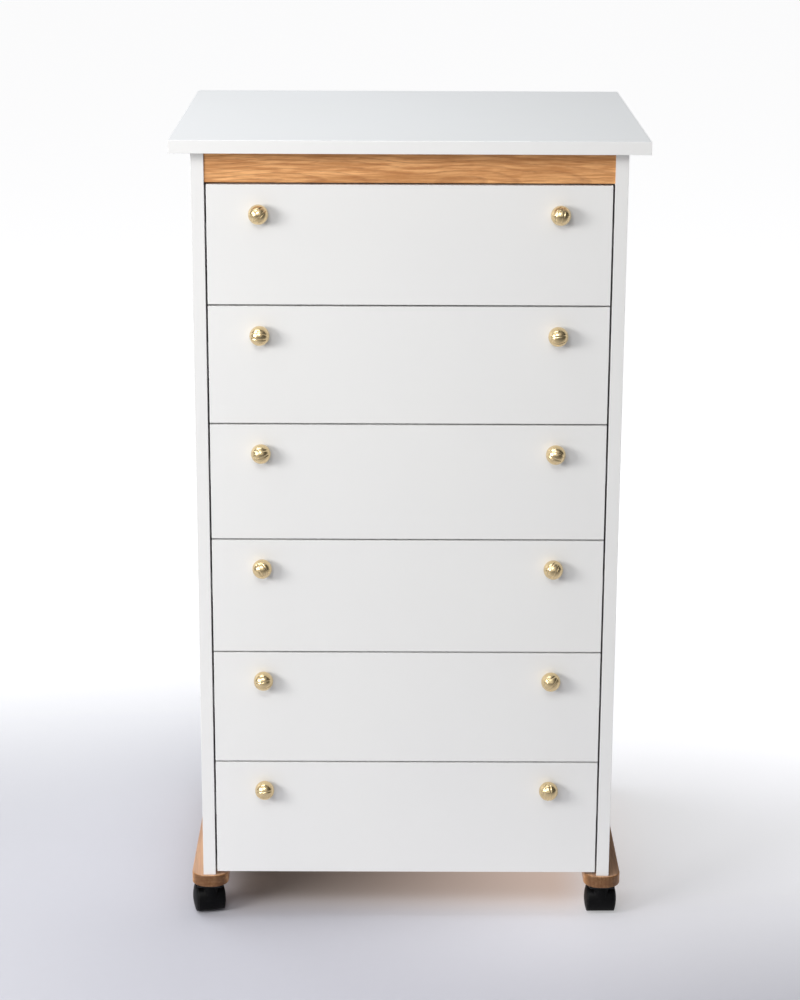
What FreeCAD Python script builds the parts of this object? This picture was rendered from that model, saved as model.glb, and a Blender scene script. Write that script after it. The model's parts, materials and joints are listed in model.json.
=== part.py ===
import FreeCAD, Part
import math
import os
import re

import Sketcher
from FreeCAD import Placement, Rotation, Vector

# A tall chest of six drawers on casters, in millimetres.
# +X is to the right, +Y to the back, +Z up. The origin is on the floor, below the
# middle of the top panel. The drawers open towards -Y.

os.makedirs("parts", exist_ok=True)
doc = FreeCAD.newDocument("ChestOfDrawers")

DRAWER_COUNT = 6

# ---------------------------------------------------------------------------
# Driving dimensions: every size that can be set by itself, written once.

DRIVING = (
    # carcass
    ("carcass_width", 600, "over the outer faces of the side panels"),
    ("side_depth", 520, "side panel, front edge to rear edge"),
    ("panel_thickness", 18, "side, top and bottom panels and the rear rail"),
    ("side_overhang", 27.5, "top panel past each side panel"),
    ("front_overhang", 30, "top panel past the front edges of the side panels"),
    ("rear_overhang", 10, "top panel past the rear edges of the side panels"),
    ("edge_ease", 0.5, "rounding of the edge-banded boards"),
    ("rail_height", 44, "oak rail between the top panel and the first drawer"),
    ("rail_thickness", 18, "oak rail, front to back"),
    ("rail_recess", 2, "oak rail behind the front edges of the side panels"),
    ("rear_rail_height", 80, "hidden rail at the rear, under the top panel"),
    ("back_thickness", 5, "hardboard back panel"),
    ("back_inset", 12, "rear edge of a side panel to the back panel"),
    ("back_tongue", 6, "how far the back panel goes into each side panel"),
    ("groove_clearance", 0.2, "round a panel that sits in a groove"),
    ("bottom_setback", 2, "drawer front's rear face to the bottom panel"),
    # drawer fronts
    ("front_height", 167.2, "each of the five upper drawer fronts"),
    ("bottom_front_height", 173.1, "lowest drawer front, which covers the bottom panel's edge"),
    ("bottom_reveal", 5.9, "lowest drawer front above the foot of the side panels"),
    ("front_thickness", 18, "drawer front"),
    ("front_gap", 2.5, "between one drawer front and the next"),
    ("side_gap", 2.7, "between a drawer front and a side panel"),
    # drawer boxes
    ("box_board", 12, "sides, front and back of a drawer box"),
    ("box_height", 125, "drawer box"),
    ("box_drop", 27, "top edge of the front to the top edge of the box"),
    ("box_depth", 455, "drawer box, front to back"),
    ("box_bottom_thickness", 5, "drawer bottom"),
    ("box_bottom_inset", 8, "lower edge of the box to the drawer bottom"),
    ("box_bottom_tongue", 6, "how far the drawer bottom goes into the boards"),
    # knobs
    ("knob_diameter", 27.8, "ball of the knob"),
    ("knob_flat", 4.4, "how much of the ball is cut off flat behind"),
    ("knob_foot", 15, "diameter of the foot on the front"),
    ("knob_foot_height", 1.6, "thickness of the foot"),
    ("knob_spacing", 415, "between the two knobs of a drawer"),
    ("knob_drop", 39.7, "top edge of the front to the knob's middle"),
    ("knob_flute", 1.3, "radius of the two flutes across the ball"),
    ("flute_offset", 0.3, "the flutes' centre line outside the ball"),
    ("stud_diameter", 6, "stud that holds the knob in the front"),
    ("stud_length", 12, "stud inside the front"),
    # drawer slides, in three members
    ("slide_length", 450, "each member"),
    ("slide_height", 35, "cabinet member"),
    ("slide_width", 12.7, "side panel to drawer box"),
    ("slide_sheet", 1.2, "steel sheet of the members"),
    ("slide_drop", 72.8, "top edge of the front to the slide's centre line"),
    ("slide_setback", 2, "rear face of the front to the slide's front end"),
    ("channel_lip", 9.7, "depth of the cabinet member's flanges"),
    ("ball_space", 3, "between the flanges of one member and the next"),
    ("web_space", 1, "between the webs of the cabinet and middle members"),
    ("middle_lip", 9, "depth of the middle member's flanges"),
    ("inner_lip", 7.5, "depth of the drawer member's flanges"),
    # runners
    ("runner_width", 54, "oak runner under each side panel"),
    ("runner_thickness", 18, "oak runner"),
    ("runner_projection", 5, "runner past each end of the side panel"),
    ("runner_corner", 24, "radius of the runner's rounded ends, in plan"),
    ("runner_round", 2, "rounding of the runner's long edges"),
    # casters
    ("caster_height", 50, "floor to the underside of the runner"),
    ("caster_front_inset", 22.5, "front end of the runner to the swivel axis"),
    ("caster_rear_inset", 44.5, "rear end of the runner to the swivel axis"),
    ("caster_trail", 12, "swivel axis to the wheels' axle"),
    ("wheel_diameter", 40, "caster wheel"),
    ("tread_width", 11.5, "running surface of one wheel"),
    ("wheel_dome", 3, "bulge of a wheel's outer face"),
    ("wheel_round", 1.5, "rounding of the tread's edges"),
    ("wheel_clearance", 0.4, "between a wheel and the middle of the hood"),
    ("hood_middle", 18, "solid middle of the hood between the wheels"),
    ("hood_width", 39, "hood over both wheels"),
    ("hood_wall", 2, "shell of the hood"),
    ("hood_clearance", 1, "between tread and hood"),
    ("hood_floor_gap", 6.5, "lower edge of the hood above the floor"),
    ("boss_diameter", 22, "swivel boss of the hood"),
    ("swivel_gap", 0.4, "between the boss and the mounting plate"),
    ("axle_diameter", 6, "steel axle of the wheels"),
    ("axle_seat", 8, "axle inside each wheel"),
    ("kingpin_diameter", 8, "pin of the mounting plate in the boss"),
    ("kingpin_length", 19, "pin below the mounting plate"),
    ("plate_size", 38, "side of the square mounting plate"),
    ("plate_thickness", 2.5, "mounting plate"),
    ("plate_corner", 5, "corner radius of the mounting plate"),
    ("plate_hole_spacing", 26, "between the screws of a plate"),
    # fixings and fits
    ("dowel_diameter", 8, "glued dowel"),
    ("dowel_length", 30, "glued dowel"),
    ("dowel_seat", 12, "dowel inside the side panel's face or the top panel"),
    ("dowel_end_inset", 60, "end of a joint to its first dowel"),
    ("rail_dowel_spacing", 22, "between the two dowels of the oak rail"),
    ("rear_dowel_spacing", 40, "between the two dowels of the rear rail"),
    ("runner_screw_diameter", 5, "shank"),
    ("runner_screw_length", 50, "underside of the runner to the tip"),
    ("runner_screw_head", 10, "countersunk head"),
    ("runner_screw_inset", 115, "end of the runner to its first screw"),
    ("plate_screw_diameter", 3.5, "shank"),
    ("plate_screw_length", 14, "from the plate's underside to the tip"),
    ("plate_screw_head", 6.6, "domed head"),
    ("plate_screw_head_height", 1.6, "domed head"),
    ("plate_screw_crown", 3.3, "diameter of the domed head's flat"),
    ("plate_screw_rim", 0.5, "straight edge of the domed head"),
    ("fit_clearance", 0.05, "radial, round every pin, dowel, stud and screw"),
    ("end_clearance", 0.5, "past the end of every pin, dowel, stud and screw"),
)

# Lengths and heights that follow from the driving dimensions.
DERIVED = (
    ("inner_width", "carcass_width - 2 * panel_thickness"),
    ("front_face_y", "front_overhang - (side_depth + front_overhang + rear_overhang) / 2"),
    ("rear_face_y", "front_face_y + side_depth"),
    ("top_depth", "side_depth + front_overhang + rear_overhang"),
    ("side_foot_z", "caster_height + runner_thickness"),
    ("fronts_height", f"{DRAWER_COUNT - 1} * front_height + bottom_front_height"
                      f" + {DRAWER_COUNT} * front_gap"),
    ("side_height", "rail_height + fronts_height + bottom_reveal"),
    ("side_top_z", "side_foot_z + side_height"),
    ("back_front_y", "rear_face_y - back_inset - back_thickness"),
    ("box_width", "inner_width - 2 * slide_width"),
    ("box_front_y", "front_face_y + front_thickness"),
    ("ball_radius", "knob_diameter / 2"),
    ("flat_radius", "sqrt(knob_flat * (knob_diameter - knob_flat))"),
    ("ball_height", "knob_foot_height - knob_flat + ball_radius"),
    ("middle_height", "slide_height - 2 * slide_sheet - 2 * ball_space"),
    ("inner_height", "middle_height - 2 * slide_sheet - 2 * ball_space"),
    ("wheel_radius", "wheel_diameter / 2"),
    ("hood_radius", "wheel_radius + hood_clearance + hood_wall"),
    ("wheel_inner", "hood_middle / 2 + wheel_clearance"),
    ("wheel_outer", "wheel_inner + tread_width"),
    ("plate_under_z", "caster_height - plate_thickness"),
    ("boss_top", "plate_under_z - swivel_gap - wheel_radius"),
    ("axle_half", "wheel_inner + axle_seat"),
    ("runner_length", "side_depth + 2 * runner_projection"),
    ("runner_front_y", "front_face_y - runner_projection"),
    ("runner_rear_y", "rear_face_y + runner_projection"),
    ("runner_centre_x", "(carcass_width - panel_thickness) / 2"),
)

RUNNER_SCREW_COUNT = 4
# Each knob is screwed home to its own angle: the turn of its flutes, left knob and right knob.
KNOB_TURNS = ((40, 77), (-8, 186), (18, -22), (-60, 65), (187, 45), (182, 90))
# Directions of the two flutes, seen from the knob's axis.
FLUTE_TILTS = (-12, 30)
# Each caster stands turned a little to its own side: across, along, turn in degrees.
CASTERS = (
    ("caster_front_left", -1, -1, 15),
    ("caster_front_right", 1, -1, 1),
    ("caster_rear_left", -1, 1, -5),
    ("caster_rear_right", 1, 1, 6),
)

sheet = doc.addObject("Spreadsheet::Sheet", "Sizes")
for row, (name, value, note) in enumerate(DRIVING, start=1):
    sheet.set(f"A{row}", name)
    sheet.set(f"B{row}", str(value))
    sheet.set(f"C{row}", note)
    sheet.setAlias(f"B{row}", name)
for row, (name, rule) in enumerate(DERIVED, start=len(DRIVING) + 1):
    sheet.set(f"A{row}", name)
    sheet.set(f"B{row}", f"={rule}")
    sheet.setAlias(f"B{row}", name)
doc.recompute()

nodes = []


# ---------------------------------------------------------------------------
# Tools of the workshop

def formula(text):
    """Put the sheet's name before each of its words; every alias has an underscore."""
    return re.sub(r"\b([a-z]+(?:_[a-z]+)+)\b", r"Sizes.\1", str(text))


def number(text):
    """Today's value of a formula, in millimetres."""
    return float(sheet.evalExpression(formula(text)))


def bind(thing, name, text):
    thing.setExpression(name, formula(text))


def place(thing, x, y, z, rotation=None):
    """Turn a piece, then tie its position to the sheet."""
    thing.Placement = Placement(Vector(number(x), number(y), number(z)), rotation or Rotation())
    for axis, text in zip("xyz", (x, y, z)):
        bind(thing, f"Placement.Base.{axis}", text)


def node(thing, label):
    """Name a finished piece, which is written to a file of its own."""
    thing.Label = label
    nodes.append(thing)
    return thing


def block(name, size, at):
    box = doc.addObject("Part::Box", name)
    for side, text in zip(("Length", "Width", "Height"), size):
        bind(box, side, text)
    place(box, *at)
    return box


def rod(name, radius, length, at, rotation=None):
    """A round bar that starts at a point and runs along the turned Z axis."""
    bar = doc.addObject("Part::Cylinder", name)
    bind(bar, "Radius", radius)
    bind(bar, "Height", length)
    place(bar, *at, rotation)
    return bar


def group(name, members):
    """Several separate solids in one object."""
    bunch = doc.addObject("Part::Compound", name)
    bunch.Links = members
    return bunch


def fuse(name, members):
    joined = doc.addObject("Part::MultiFuse", name)
    joined.Shapes = members
    return joined


def cut(name, base, tool):
    result = doc.addObject("Part::Cut", name)
    result.Base = base
    result.Tool = tool
    return result


def origin_plane(body, role):
    return next(plane for plane in body.Origin.OriginFeatures if plane.Role == role)


def arc_between(start, end, radius, side):
    """The arc of a given radius from start to end, with its centre on one side of the chord."""
    chord = end - start
    reach = math.sqrt(max(radius ** 2 - (chord.Length / 2) ** 2, 0))
    across = Vector(-chord.y, chord.x, 0).normalize()
    centre = (start + end) * 0.5 + across * reach * side
    angles = [math.atan2(point.y - centre.y, point.x - centre.x) for point in (start, end)]
    if side < 0:
        angles.reverse()
    return Part.ArcOfCircle(Part.Circle(centre, Vector(0, 0, 1), radius), *angles)


def outline(body, role, points, arcs=None):
    """A closed sketch through points given as formulas.

    arcs maps the number of a stretch to its radius and the side of its centre:
    1 to the left of the stretch and -1 to its right. The other stretches are straight.
    """
    arcs = arcs or {}
    sketch = body.newObject("Sketcher::SketchObject", f"{body.Name}_outline")
    sketch.AttachmentSupport = (origin_plane(body, role), [""])
    sketch.MapMode = "FlatFace"
    places = [Vector(number(x), number(y), 0) for x, y in points]
    ends = []
    for index, start in enumerate(places):
        end = places[(index + 1) % len(places)]
        if index in arcs:
            radius, side = arcs[index]
            sketch.addGeometry(arc_between(start, end, number(radius), side))
            ends.append((1, 2) if side > 0 else (2, 1))
        else:
            sketch.addGeometry(Part.LineSegment(start, end))
            ends.append((1, 2))
    for index in range(len(places)):
        following = (index + 1) % len(places)
        sketch.addConstraint(Sketcher.Constraint(
            "Coincident", index, ends[index][1], following, ends[following][0]))
    for index, (point, spot) in enumerate(zip(points, places)):
        corner = (-1, 1, index, ends[index][0])
        for kind, text, value in zip(("DistanceX", "DistanceY"), point, (spot.x, spot.y)):
            row = sketch.addConstraint(Sketcher.Constraint(kind, *corner, value))
            bind(sketch, f"Constraints[{row}]", text)
    for index, (radius, _) in arcs.items():
        row = sketch.addConstraint(Sketcher.Constraint("Radius", index, number(radius)))
        bind(sketch, f"Constraints[{row}]", radius)
    return sketch


def padded(name, points, height, arcs=None):
    """A body whose outline lies in its XY plane and is padded up."""
    body = doc.addObject("PartDesign::Body", name)
    pad = body.newObject("PartDesign::Pad", f"{name}_pad")
    pad.Profile = outline(body, "XY_Plane", points, arcs)
    bind(pad, "Length", height)
    body.Tip = pad
    return body


def turned(name, points, arcs=None):
    """A body turned about its Z axis from an outline of radius and height."""
    body = doc.addObject("PartDesign::Body", name)
    sketch = outline(body, "XZ_Plane", points, arcs)
    turn = body.newObject("PartDesign::Revolution", f"{name}_turn")
    turn.Profile = sketch
    turn.ReferenceAxis = (sketch, ["V_Axis"])
    turn.Angle = 360
    body.Tip = turn
    return body


def eased(body, radius):
    """Round every edge of a body."""
    plain = body.Tip
    rounding = body.newObject("PartDesign::Fillet", f"{body.Name}_rounding")
    rounding.Base = (plain, [""])
    rounding.UseAllEdges = True
    bind(rounding, "Radius", radius)
    body.Tip = rounding
    return body


def board(name, size, at):
    """An edge-banded board with its lower front left corner at a point."""
    width, depth, height = size
    corners = (("0", "0"), (width, "0"), (width, depth), ("0", depth))
    body = eased(padded(name, corners, height), "edge_ease")
    place(body, *at)
    return body


ALONG_X = Rotation(Vector(0, 1, 0), 90)
ALONG_MINUS_Y = Rotation(Vector(1, 0, 0), 90)


# ---------------------------------------------------------------------------
# Fixings of the carcass: dowels, their holes, and the screws of the runners

def dowel_places():
    """Middle of each dowel's seat face and the way that it goes into the other board."""
    along_panel = (
        "front_face_y + front_thickness + dowel_end_inset",
        "front_face_y + side_depth / 2",
        "back_front_y - dowel_end_inset",
    )
    for side in (-1, 1):
        face = f"{side} * inner_width / 2"
        inward = Rotation(Vector(0, 1, 0), -90 * side)
        bottom_z = "side_foot_z + panel_thickness / 2"
        for y in along_panel:
            yield (face, y, bottom_z), inward
            yield (f"{side} * runner_centre_x", y, "side_top_z"), Rotation(Vector(1, 0, 0), 180)
        for step in (-0.5, 0.5):
            rail_y = "front_face_y + rail_recess + rail_thickness / 2"
            rail_z = f"side_top_z - rail_height / 2 + {step} * rail_dowel_spacing"
            yield (face, rail_y, rail_z), inward
            rear_y = "back_front_y - panel_thickness / 2"
            rear_z = f"side_top_z - rear_rail_height / 2 + {step} * rear_dowel_spacing"
            yield (face, rear_y, rear_z), inward


def dowel_rods(name, extra_radius, extra_end):
    """All dowels, or with extra radius and length the holes that they sit in."""
    rods = []
    for count, (seat, rotation) in enumerate(dowel_places(), start=1):
        back = rotation.multVec(Vector(0, 0, -1))
        start = [f"{middle} + ({round(way)}) * (dowel_seat + {extra_end})"
                 for middle, way in zip(seat, back)]
        rods.append(rod(f"{name}_{count}", f"dowel_diameter / 2 + {extra_radius}",
                        f"dowel_length + 2 * {extra_end}", start, rotation))
    return group(name, rods)


def runner_screw_places():
    last = RUNNER_SCREW_COUNT - 1
    for side in (-1, 1):
        for step in range(RUNNER_SCREW_COUNT):
            along = f"{step} / {last} * (runner_length - 2 * runner_screw_inset)"
            yield (f"{side} * runner_centre_x",
                   f"runner_front_y + runner_screw_inset + {along}", "caster_height")


def runner_screw(name, at, extra_radius, extra_end):
    """A countersunk screw that points up, or with extra sizes the hole that it sits in."""
    shank = f"runner_screw_diameter / 2 + {extra_radius}"
    head = f"runner_screw_head / 2 + {extra_radius}"
    taper = "(runner_screw_head - runner_screw_diameter) / 2"
    tip = f"runner_screw_length + {extra_end}"
    points = (("0", "0"), (head, "0"), (shank, taper),
              (shank, f"{tip} - runner_screw_diameter / 2"), ("0", tip))
    body = turned(name, points)
    place(body, *at)
    return body


def plate_screw(name, at, extra_radius, extra_end):
    """A domed screw that points up through a caster's plate, or its hole."""
    shank = f"plate_screw_diameter / 2 + {extra_radius}"
    head = f"plate_screw_head / 2 + {extra_radius}"
    tip = f"plate_screw_length + {extra_end}"
    crown = "plate_screw_crown / 2"
    points = (("0", "-plate_screw_head_height"), (crown, "-plate_screw_head_height"),
              (head, "-plate_screw_rim"), (head, "0"), (shank, "0"),
              (shank, f"{tip} - plate_screw_diameter / 2"), ("0", tip))
    body = turned(name, points)
    place(body, *at)
    return body


def caster_places():
    for label, across, along, turn in CASTERS:
        x = f"{across} * runner_centre_x"
        end = ("runner_front_y + caster_front_inset" if along < 0
               else "runner_rear_y - caster_rear_inset")
        yield label, x, end, turn


def plate_screw_places():
    for _, x, y, _ in caster_places():
        for step_x in (-0.5, 0.5):
            for step_y in (-0.5, 0.5):
                yield (f"{x} + {step_x} * plate_hole_spacing",
                       f"{y} + {step_y} * plate_hole_spacing", "plate_under_z")


node(dowel_rods("dowel", "0", "0"), "dowels")
dowel_holes = dowel_rods("dowel_hole", "fit_clearance", "end_clearance")

node(group("runner_screw_group", [
    runner_screw(f"runner_screw_{count}", at, "0", "0")
    for count, at in enumerate(runner_screw_places(), start=1)]), "runner_screws")
runner_holes = group("runner_hole_group", [
    runner_screw(f"runner_hole_{count}", at, "fit_clearance", "end_clearance")
    for count, at in enumerate(runner_screw_places(), start=1)])

node(group("plate_screw_group", [
    plate_screw(f"plate_screw_{count}", at, "0", "0")
    for count, at in enumerate(plate_screw_places(), start=1)]), "caster_screws")
plate_holes = group("plate_hole_group", [
    plate_screw(f"plate_hole_{count}", at, "fit_clearance", "end_clearance")
    for count, at in enumerate(plate_screw_places(), start=1)])

carcass_holes = group("carcass_holes", [dowel_holes, runner_holes])


# ---------------------------------------------------------------------------
# Carcass

back_size = ("inner_width + 2 * back_tongue", "back_thickness", "side_height")
back_at = ("-inner_width / 2 - back_tongue", "back_front_y", "side_foot_z")
node(block("back_panel_board", back_size, back_at), "back_panel")
back_groove = block(
    "back_groove",
    ("inner_width + 2 * back_tongue + 2 * groove_clearance",
     "back_thickness + 2 * groove_clearance", "side_height"),
    ("-inner_width / 2 - back_tongue - groove_clearance",
     "back_front_y - groove_clearance", "side_foot_z"))
side_cuts = group("side_cuts", [carcass_holes, back_groove])

for label, x in (("side_panel_left", "-carcass_width / 2"),
                 ("side_panel_right", "carcass_width / 2 - panel_thickness")):
    side_board = board(f"{label}_board", ("panel_thickness", "side_depth", "side_height"),
                       (x, "front_face_y", "side_foot_z"))
    node(cut(f"{label}_cut", side_board, side_cuts), label)

top_board = board(
    "top_board",
    ("carcass_width + 2 * side_overhang", "top_depth", "panel_thickness"),
    ("-carcass_width / 2 - side_overhang", "-top_depth / 2", "side_top_z"))
node(cut("top_cut", top_board, carcass_holes), "top_panel")

bottom_board = board(
    "bottom_board",
    ("inner_width", "back_front_y - box_front_y - bottom_setback", "panel_thickness"),
    ("-inner_width / 2", "box_front_y + bottom_setback", "side_foot_z"))
node(cut("bottom_cut", bottom_board, carcass_holes), "bottom_panel")

front_rail_board = board(
    "front_rail_board",
    ("inner_width", "rail_thickness", "rail_height"),
    ("-inner_width / 2", "front_face_y + rail_recess", "side_top_z - rail_height"))
node(cut("front_rail_cut", front_rail_board, carcass_holes), "front_rail")

rear_rail_board = board(
    "rear_rail_board",
    ("inner_width", "panel_thickness", "rear_rail_height"),
    ("-inner_width / 2", "back_front_y - panel_thickness", "side_top_z - rear_rail_height"))
node(cut("rear_rail_cut", rear_rail_board, carcass_holes), "rear_rail")


# ---------------------------------------------------------------------------
# Runners

def rounded_rectangle(width, length, corner):
    """Corner points of a rectangle with rounded corners, centred across, and its arcs."""
    low_x, high_x = f"-({width}) / 2", f"({width}) / 2"
    points = (
        (f"{low_x} + {corner}", "0"), (f"{high_x} - {corner}", "0"),
        (high_x, corner), (high_x, f"{length} - {corner}"),
        (f"{high_x} - {corner}", length), (f"{low_x} + {corner}", length),
        (low_x, f"{length} - {corner}"), (low_x, corner),
    )
    return points, {1: (corner, 1), 3: (corner, 1), 5: (corner, 1), 7: (corner, 1)}


runner_cuts = group("runner_cuts", [runner_holes, plate_holes])
for label, side in (("runner_left", -1), ("runner_right", 1)):
    points, arcs = rounded_rectangle("runner_width", "runner_length", "runner_corner")
    strip = eased(padded(f"{label}_strip", points, "runner_thickness", arcs), "runner_round")
    place(strip, f"{side} * runner_centre_x", "runner_front_y", "caster_height")
    node(cut(f"{label}_cut", strip, runner_cuts), label)


# ---------------------------------------------------------------------------
# Casters: plate and kingpin on the runner, hood with axle below it, two wheels

def caster_plate(label, x, y):
    """A square plate under the runner, and the pin pressed into it that the hood swivels on."""
    points, arcs = rounded_rectangle("plate_size", "plate_size", "plate_corner")
    plate = padded(f"{label}_plate", points, "plate_thickness", arcs)
    place(plate, x, f"{y} - plate_size / 2", "plate_under_z")
    pin = rod(f"{label}_kingpin", "kingpin_diameter / 2", "kingpin_length + plate_thickness",
              (x, y, "plate_under_z - kingpin_length"))
    return [cut(f"{label}_plate_bored", plate, pin), pin]


def caster_hood(label, x, y, turn):
    """A hood about the axle, open at both ends and below, with a solid middle and a boss."""
    drum = rod(f"{label}_drum", "hood_radius", "hood_width", ("-hood_width / 2", "0", "0"), ALONG_X)
    boss = rod(f"{label}_boss", "boss_diameter / 2", "boss_top", ("0", "-caster_trail", "0"))
    solid = fuse(f"{label}_solid", [drum, boss])
    wells = [
        rod(f"{label}_well_{name}", "hood_radius - hood_wall", "hood_width",
            (start, "0", "0"), ALONG_X)
        for name, start in (("left", "-hood_width - hood_middle / 2"), ("right", "hood_middle / 2"))]
    floor_cut = block(f"{label}_floor_cut", ("2 * hood_width", "4 * hood_radius", "hood_radius"),
                      ("-hood_width", "-2 * hood_radius",
                       "hood_floor_gap - wheel_radius - hood_radius"))
    axle_bore = rod(f"{label}_axle_bore", "axle_diameter / 2 + fit_clearance", "hood_width",
                    ("-hood_width / 2", "0", "0"), ALONG_X)
    pin_reach = "kingpin_length - swivel_gap + end_clearance"
    pin_bore = rod(f"{label}_pin_bore", "kingpin_diameter / 2 + fit_clearance",
                   f"{pin_reach} + boss_top", ("0", "-caster_trail", f"boss_top - ({pin_reach})"))
    hollow = group(f"{label}_hollow", wells + [floor_cut, axle_bore, pin_bore])
    hood = cut(f"{label}_hood_cut", solid, hollow)
    place(hood, *axle_middle(x, y, turn), Rotation(Vector(0, 0, 1), turn))
    return hood


def axle_middle(x, y, turn):
    """Middle of the axle, which trails behind the swivel axis."""
    angle = math.radians(turn)
    return (f"{x} - {math.sin(angle)} * caster_trail",
            f"{y} + {math.cos(angle)} * caster_trail", "wheel_radius")


def caster_axle(label, x, y, turn):
    turned_x = Rotation(Vector(0, 0, 1), turn).multiply(ALONG_X)
    angle = math.radians(turn)
    centre_x, centre_y, centre_z = axle_middle(x, y, turn)
    start = (f"{centre_x} - {math.cos(angle)} * axle_half",
             f"{centre_y} - {math.sin(angle)} * axle_half", centre_z)
    return rod(f"{label}_axle_rod", "axle_diameter / 2", "2 * axle_half", start, turned_x)


def caster_wheel(name, x, y, turn, side):
    """A wheel with a blind bore for the axle and a domed outer face."""
    bore = "axle_diameter / 2 + fit_clearance"
    bore_end = "axle_half + end_clearance"
    shoulder = "wheel_radius - wheel_round"
    crown = "(wheel_radius - wheel_round) ^ 2 / (2 * wheel_dome) + wheel_dome / 2"
    points = (
        ("0", bore_end), (bore, bore_end), (bore, "wheel_inner"), (shoulder, "wheel_inner"),
        ("wheel_radius", "wheel_inner + wheel_round"), ("wheel_radius", "wheel_outer - wheel_round"),
        (shoulder, "wheel_outer"), ("0", "wheel_outer + wheel_dome"))
    arcs = {3: ("wheel_round", 1), 5: ("wheel_round", 1), 6: (crown, 1)}
    wheel = turned(name, points, arcs)
    outward = Rotation(Vector(0, 0, 1), turn).multiply(Rotation(Vector(0, 1, 0), 90 * side))
    place(wheel, *axle_middle(x, y, turn), outward)
    return wheel


plates = []
for label, x, y, turn in caster_places():
    plates += caster_plate(label, x, y)
    node(caster_hood(label, x, y, turn), f"{label}_hood")
    node(caster_axle(label, x, y, turn), f"{label}_axle")
    for name, side in (("wheel_left", -1), ("wheel_right", 1)):
        node(caster_wheel(f"{label}_{name}_body", x, y, turn, side), f"{label}_{name}")
node(cut("caster_plate_cut", group("caster_plate_group", plates), plate_holes), "caster_plates")


# ---------------------------------------------------------------------------
# Drawers, numbered from the top

def front_top(index):
    """Height of the top edge of a drawer front."""
    return f"side_top_z - rail_height - front_gap - {index} * (front_height + front_gap)"


def c_section(name, side, web, flanges, height, z_middle):
    """A slide member: a web and two flanges, from one distance off the side panel to another.

    web and flanges are distances from the side panel towards the drawer: the web's outer
    face and the flanges' free edges.
    """
    depth = f"abs(({flanges}) - ({web}))"
    opening = f"({height}) - 2 * slide_sheet"
    front = "box_front_y + slide_setback"
    web_first = number(web) < number(flanges)
    low = web if web_first else flanges
    hollow_low = f"{low} + slide_sheet" if web_first else f"{low} - slide_sheet"

    def x_at(distance, width):
        """Left face of a block that starts at a distance from the side panel."""
        if side < 0:
            return f"-inner_width / 2 + {distance}"
        return f"inner_width / 2 - ({distance}) - ({width})"

    solid = block(f"{name}_solid", (depth, "slide_length", height),
                  (x_at(low, depth), front, f"{z_middle} - ({height}) / 2"))
    hollow = block(f"{name}_hollow", (depth, "slide_length + 2 * slide_setback", opening),
                   (x_at(hollow_low, depth), f"{front} - slide_setback",
                    f"{z_middle} - ({opening}) / 2"))
    return cut(f"{name}_section", solid, hollow)


def drawer_front(label, index, height):
    slab = board(f"{label}_front_board",
                 ("inner_width - 2 * side_gap", "front_thickness", height),
                 ("-inner_width / 2 + side_gap", "front_face_y", f"{front_top(index)} - {height}"))
    holes = group(f"{label}_stud_holes", [
        rod(f"{label}_stud_hole_{name}", "stud_diameter / 2 + fit_clearance",
            "stud_length + end_clearance",
            (f"{side} * knob_spacing / 2", "front_face_y + stud_length + end_clearance",
             f"{front_top(index)} - knob_drop"), ALONG_MINUS_Y)
        for name, side in (("left", -1), ("right", 1))])
    return cut(f"{label}_front_cut", slab, holes)


def drawer_box(label, index):
    """Four boards and a bottom that sits in grooves in all four."""
    top = f"{front_top(index)} - box_drop"
    foot = f"{top} - box_height"
    inside = "box_width - 2 * box_board"
    bottom_size = (f"{inside} + 2 * box_bottom_tongue",
                   "box_depth - 2 * box_board + 2 * box_bottom_tongue", "box_bottom_thickness")
    bottom_at = (f"-({bottom_size[0]}) / 2", "box_front_y + box_board - box_bottom_tongue",
                 f"{foot} + box_bottom_inset")
    bottom = block(f"{label}_box_bottom", bottom_size, bottom_at)
    groove = block(f"{label}_box_groove",
                   [f"{length} + 2 * groove_clearance" for length in bottom_size],
                   [f"{start} - groove_clearance" for start in bottom_at])
    boards = {
        "left": (("box_board", "box_depth"), ("-box_width / 2", "box_front_y")),
        "right": (("box_board", "box_depth"), ("box_width / 2 - box_board", "box_front_y")),
        "front": ((inside, "box_board"), (f"-({inside}) / 2", "box_front_y")),
        "back": ((inside, "box_board"),
                 (f"-({inside}) / 2", "box_front_y + box_depth - box_board")),
    }
    pieces = [bottom]
    for name, (size, corner) in boards.items():
        plain = block(f"{label}_box_{name}", (*size, "box_height"), (*corner, foot))
        pieces.append(cut(f"{label}_box_{name}_grooved", plain, groove))
    return group(f"{label}_box_group", pieces)


def knob(name, index, side, turn):
    """A turned ball with a flat back on a foot, fluted twice across, with its stud."""
    points = (
        ("0", "-stud_length"), ("stud_diameter / 2", "-stud_length"), ("stud_diameter / 2", "0"),
        ("knob_foot / 2", "0"), ("knob_foot / 2", "knob_foot_height"),
        ("flat_radius", "knob_foot_height"), ("0", "ball_height + ball_radius"))
    ball = turned(f"{name}_ball", points, {5: ("ball_radius", 1)})
    flutes = []
    for count, tilt in enumerate(FLUTE_TILTS, start=1):
        ring = doc.addObject("Part::Torus", f"{name}_flute_{count}")
        bind(ring, "Radius1", "ball_radius + flute_offset")
        bind(ring, "Radius2", "knob_flute")
        ring.Angle3 = 180
        place(ring, "0", "0", "ball_height", Rotation(Vector(1, 0, 0), 90 - tilt))
        flutes.append(ring)
    fluted = cut(f"{name}_fluted", ball, group(f"{name}_flutes", flutes))
    facing = ALONG_MINUS_Y.multiply(Rotation(Vector(0, 0, 1), turn))
    place(fluted, f"{side} * knob_spacing / 2", "front_face_y",
          f"{front_top(index)} - knob_drop", facing)
    return fluted


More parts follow.
